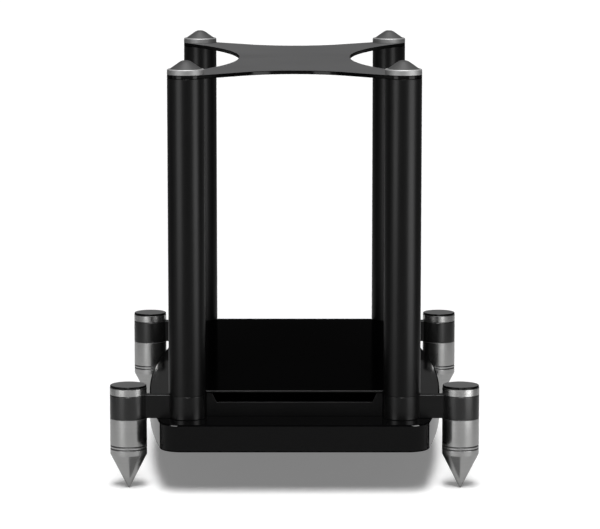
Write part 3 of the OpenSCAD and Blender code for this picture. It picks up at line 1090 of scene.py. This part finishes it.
class MakeFeet(bpy.types.Operator):
    """Sleeves, upper rings and caps of the feet"""

    bl_idname = "stand.make_feet"
    bl_label = "Feet"

    def execute(self, context):
        edge = context.scene.stand_shape.turned_edge
        for corner in CORNERS:
            steel_ring("foot_sleeve_" + corner, "sleeve_" + corner, GROOVE, edge, edge)
            steel_ring("foot_collar_" + corner, "foot_ring_" + corner, edge, edge, edge)
            cap = Part("foot_cap_" + corner)
            rim = Part("foot_ring_" + corner).top
            profile = rounded([
                (0.0, cap.foot, 0), (STEM_RADIUS, cap.foot, edge), (STEM_RADIUS, rim, 0),
                (cap.radius, rim, edge), (cap.radius, cap.top, CAP_ROUND), (0.0, cap.top, 0),
            ], steps=6)
            piece = turned("cap_" + corner, profile, cap.centre)
            # Painted light: the cap's top is lighter than its sides and rims, which take the black
            # lacquer.
            dress(piece, "cap_lacquer", "foot_cap_" + corner)
            without_shadow(piece)
            edge_finish(piece, "gloss_edge", "gloss_edge")
        return {"FINISHED"}


def spike_profile(spike, shoulder, shape):
    """A spike's cone, barrel and stem, and the rows of the stem that carry the thread."""
    tip, edge, pitch = shape.tip_radius, shape.turned_edge, shape.thread_pitch
    root = STEM_RADIUS - shape.thread_depth
    body = rounded([
        (0.0, spike.foot, 0), (tip, spike.foot, tip / 2),
        (spike.radius, shoulder - BARREL, 2 * edge),
        (spike.radius, shoulder - GROOVE, edge), (spike.radius - GROOVE, shoulder, edge),
        (root, shoulder, 0),
    ])
    step = pitch / THREAD_ROWS
    count = int((spike.top - pitch - shoulder) / step)
    stem = [(STEM_RADIUS, shoulder + step * (k + 1)) for k in range(count)]
    profile = body + stem + [(root, stem[-1][1] + step), (root, spike.top), (0.0, spike.top)]
    return profile, (len(body), len(body) + len(stem) - 1, pitch, shape.thread_depth)


class MakeSpikes(bpy.types.Operator):
    """Jam rings and threaded spikes, each set on a body of its own"""

    bl_idname = "stand.make_spikes"
    bl_label = "Jam rings and spikes"

    def execute(self, context):
        shape = context.scene.stand_shape
        edge = shape.turned_edge
        for corner in CORNERS:
            steel_ring(
                "jam_nut_" + corner, "jam_ring_" + corner, GROOVE, GROOVE, edge, "lift_" + corner)
            spike = Part("spike_" + corner)
            shoulder = Part("jam_ring_" + corner).foot - FOOT_GAP
            profile, thread = spike_profile(spike, shoulder, shape)
            piece = turned("spike_foot_" + corner, profile, spike.centre,
                           segments=SPIKE_SEGMENTS, thread=thread)
            dress(piece, "turned_steel", "spike_" + corner, "spike_" + corner)

            def in_groove(face):
                return 0 < shoulder - face.center.z < GROOVE + edge and face.normal.z > GROOVE_RISE

            # Painted shade: darker steel in the groove under the spike's shoulder.
            paint(piece, "groove_steel", in_groove)
        return {"FINISHED"}


def hexagon(across_flats):
    """The six corners of a nut."""
    return arc((0.0, 0.0), across_flats / 2 / math.cos(math.radians(30)), 0, 300, 5)


def socket_screw(name, foot, top):
    """A cap screw at the middle, head down, with a hexagon socket in its head."""
    seat = foot + SCREW_HEAD
    profile = rounded([
        (0, foot, 0), (SCREW_HEAD_RADIUS, foot, SCREW_EDGE), (SCREW_HEAD_RADIUS, seat, 0),
        (SCREW_RADIUS, seat, 0), (SCREW_RADIUS, top, SCREW_EDGE), (0, top, 0),
    ], steps=3)
    screw = turned(name, profile, (0, 0), segments=SCREW_SEGMENTS)
    socket = prism("socket", hexagon(SCREW_SOCKET), foot - CUT_OVER, foot + SCREW_HEAD / 2,
                   SCREW_EDGE / 4, steps=1)
    return cut(screw, socket)


class MakeFixings(bpy.types.Operator):
    """Tie rods, nuts, washers, plugs, studs and rail screws"""

    bl_idname = "stand.make_fixings"
    bl_label = "Fixings"

    def execute(self, context):
        zinc = finish_of("plated_steel")
        tube = Part("pillar_front_right")
        foot = Part("sleeve_front_right")
        at_pillars = pillar_spacing()
        at_feet = (2 * foot.x, 2 * abs(foot.y))
        rod = Part("tie_rods").beyond(tube)
        hole = rod + ROD_HOLE_GAP
        for name, node, middle, spacing, soft, bore in (
            ("tie_rod_set", "tie_rods", tube, at_pillars, ROD_EDGE, 0.0),
            ("tie_washer_set", "tie_washers", tube, at_pillars, WASHER_EDGE, hole),
            ("plug_set", "pillar_plugs", tube, at_pillars, WASHER_EDGE, hole),
            ("foot_stud_set", "foot_studs", foot, at_feet, ROD_EDGE, 0.0),
        ):
            part = Part(node)
            piece = round_bar(name, part.beyond(middle), part.foot, part.top, soft, bore)
            at_four_places(piece, spacing, zinc)
            dress(piece, "plated_steel", node)
        nuts = Part("tie_nuts")
        flats = 2 * nuts.high.y - at_pillars[1]
        nut = prism("tie_nut_set", hexagon(flats), nuts.foot, nuts.top, NUT_EDGE, steps=3)
        cut(nut, round_bar("nut_bore", rod + ROD_FIT, nuts.foot - CUT_OVER, nuts.top + CUT_OVER))
        at_four_places(nut, at_pillars, zinc)
        dress(nut, "plated_steel", "tie_nuts")
        screws = Part("rail_screws")
        both = even_shading(joined("rail_screw_set", [
            at_four_places(socket_screw(name, screws.foot, screws.top), spacing, zinc)
            for name, spacing in screw_spacings().items()]))
        dress(both, "plated_steel", "rail_screws")
        return {"FINISHED"}


def set_up(name, data, place, turn):
    """Puts a lamp or the camera in its place."""
    thing = bpy.data.objects.new(name, data)
    thing.location = place
    thing.rotation_euler = turn
    bpy.context.scene.collection.objects.link(thing)
    return thing


class MakeStage(bpy.types.Operator):
    """Floor, lamps, room and camera"""

    bl_idname = "stand.make_stage"
    bl_label = "Stage"

    def execute(self, context):
        stage = context.scene.stand_stage
        self.make_floor(stage)
        self.make_lamps(stage)
        self.make_room(context, stage)
        self.make_camera(context, stage)
        context.scene.view_settings.view_transform = "Standard"
        return {"FINISHED"}

    def make_floor(self, stage):
        """A floor white for the camera, greyer in gloss with painted shade patches, clear from below.
        """
        built = bmesh.new()
        bmesh.ops.create_grid(built, x_segments=1, y_segments=1, size=FLOOR_SIZE)
        floor = mesh_piece("floor", built)
        finish = Finish("pale_floor")
        place = finish.place()
        across = finish.part_of(place, "X")
        depth = finish.part_of(place, "Y")
        # Painted shade: a darker patch under the stand's front and one to each side, seen only in
        # reflections.
        painted_shade = (SHADE_PATCH_HALF_WIDTH ** 2 - across * across).above(0.0)
        painted_shade *= depth.above(SHADE_PATCH_FRONT) * (SHADE_PATCH_BACK - depth).above(0.0)
        painted_shade += (across * across).above(SIDE_PAINTED_DARK_FROM ** 2) * depth.above(SIDE_PAINTED_DARK_FRONT)
        grey = finish.mixed(painted_shade, (stage.floor_in_gloss,) * 3, (stage.painted_shade,) * 3)
        white = (*(stage.floor,) * 3, 1.0)
        for_rest = finish.node("ShaderNodeBsdfDiffuse", None, {"Color": grey})
        for_camera = finish.node("ShaderNodeAddShader", None, {
            0: finish.node("ShaderNodeBsdfDiffuse", None, {"Color": white}),
            1: finish.node("ShaderNodeEmission", None, {"Strength": stage.floor_glow}),
        })
        below = finish.node("ShaderNodeNewGeometry", output="Backfacing")
        clear = finish.node("ShaderNodeBsdfTransparent")
        for_camera = finish.node("ShaderNodeMixShader", None, {0: below, 1: for_camera, 2: clear})
        seen = finish.node("ShaderNodeLightPath", output="Is Camera Ray")
        floor.data.materials.append(finish.output(
            finish.node("ShaderNodeMixShader", None, {0: seen, 1: for_rest, 2: for_camera})))

    def make_lamps(self, stage):
        """Two tall front lamps for highlights, and three tilted lights from above."""
        for name, power, place, size in (
            ("left_lamp", stage.left_lamp, LEFT_LAMP_PLACE, LEFT_LAMP_SIZE),
            ("right_lamp", stage.right_lamp, RIGHT_LAMP_PLACE, RIGHT_LAMP_SIZE),
        ):
            lamp = bpy.data.lights.new(name, "AREA")
            lamp.shape = "RECTANGLE"
            lamp.size, lamp.size_y = size
            lamp.energy = power
            facing = (Vector(LAMP_AIM) - Vector(place)).to_track_quat("-Z", "Y").to_euler()
            set_up(name, lamp, place, facing).visible_diffuse = False
        for tilt in TOP_LIGHT_TILTS:
            name = f"top_light_{tilt}"
            angle = math.radians(tilt)
            sky = bpy.data.lights.new(name, "SUN")
            sky.energy = stage.top / len(TOP_LIGHT_TILTS) / math.cos(angle)
            sky.angle = math.radians(TOP_LIGHT_SPREAD)
            set_up(name, sky, (0.0, -math.tan(angle), TOP_LIGHT_HEIGHT), (angle, 0.0, 0.0))

    def make_room(self, context, stage):
        """White behind everything for the camera, and grey in reflections."""
        world = bpy.data.worlds.new("room")
        world.use_nodes = True
        context.scene.world = world
        room = Nodes(world.node_tree)
        dim, grey, white = (
            room.node("ShaderNodeBackground", None, {"Color": (1.0,) * 4, "Strength": strength})
            for strength in (stage.ambient, stage.surround, 1.0))
        glossy = room.node("ShaderNodeLightPath", output="Is Glossy Ray")
        seen = room.node("ShaderNodeLightPath", output="Is Camera Ray")
        shade = room.node("ShaderNodeMixShader", None, {0: glossy, 1: dim, 2: grey})
        shade = room.node("ShaderNodeMixShader", None, {0: seen, 1: shade, 2: white})
        room.node("ShaderNodeOutputWorld", None, {"Surface": shade})

    def make_camera(self, context, stage):
        """The photograph's long lens, above the stand's top and looking down."""
        camera = bpy.data.cameras.new("camera")
        camera.sensor_fit = "HORIZONTAL"
        camera.sensor_width = SENSOR_WIDTH
        camera.lens = stage.focal_pixels * SENSOR_WIDTH / PICTURE_WIDTH
        camera.shift_x = stage.shift
        camera.clip_end = VIEW_LENGTH
        context.scene.camera = set_up(
            "camera", camera, (0.0, -stage.camera_distance, stage.camera_height),
            (math.radians(90.0) - stage.camera_pitch, 0.0, 0.0))


class StandPanel(bpy.types.Panel):
    """Settings and steps of the stand"""

    bl_idname = "VIEW3D_PT_stand"
    bl_label = "Speaker stand"
    bl_space_type = "VIEW_3D"
    bl_region_type = "UI"
    bl_category = "Stand"

    def draw(self, context):
        for group in GROUPS:
            settings = getattr(context.scene, group)
            box = self.layout.box()
            for key in settings.__annotations__:
                box.prop(settings, key)
        for step in STEPS:
            self.layout.operator(step.bl_idname)


GROUPS = {"stand_shape": StandShape, "stand_finish": StandFinish, "stand_stage": StandStage}
STEPS = (
    MakeStage, MakeSlab, MakeOutriggers, MakeDeck, MakePillars, MakeTopPlate, MakePads, MakeFeet,
    MakeSpikes, MakeFixings,
)


def register():
    """Adds the settings, the steps and the panel."""
    for name, group in GROUPS.items():
        bpy.utils.register_class(group)
        setattr(bpy.types.Scene, name, bpy.props.PointerProperty(type=group))
    for made in (*STEPS, StandPanel):
        bpy.utils.register_class(made)


def unregister():
    """Takes the panel, the steps and the settings away again."""
    for made in reversed((*STEPS, StandPanel)):
        bpy.utils.unregister_class(made)
    for name, group in reversed(GROUPS.items()):
        delattr(bpy.types.Scene, name)
        bpy.utils.unregister_class(group)


def main():
    """Builds the stand step by step."""
    register()
    for step in STEPS:
        getattr(bpy.ops.stand, step.bl_idname.removeprefix("stand."))()


if __name__ == "__main__":
    main()
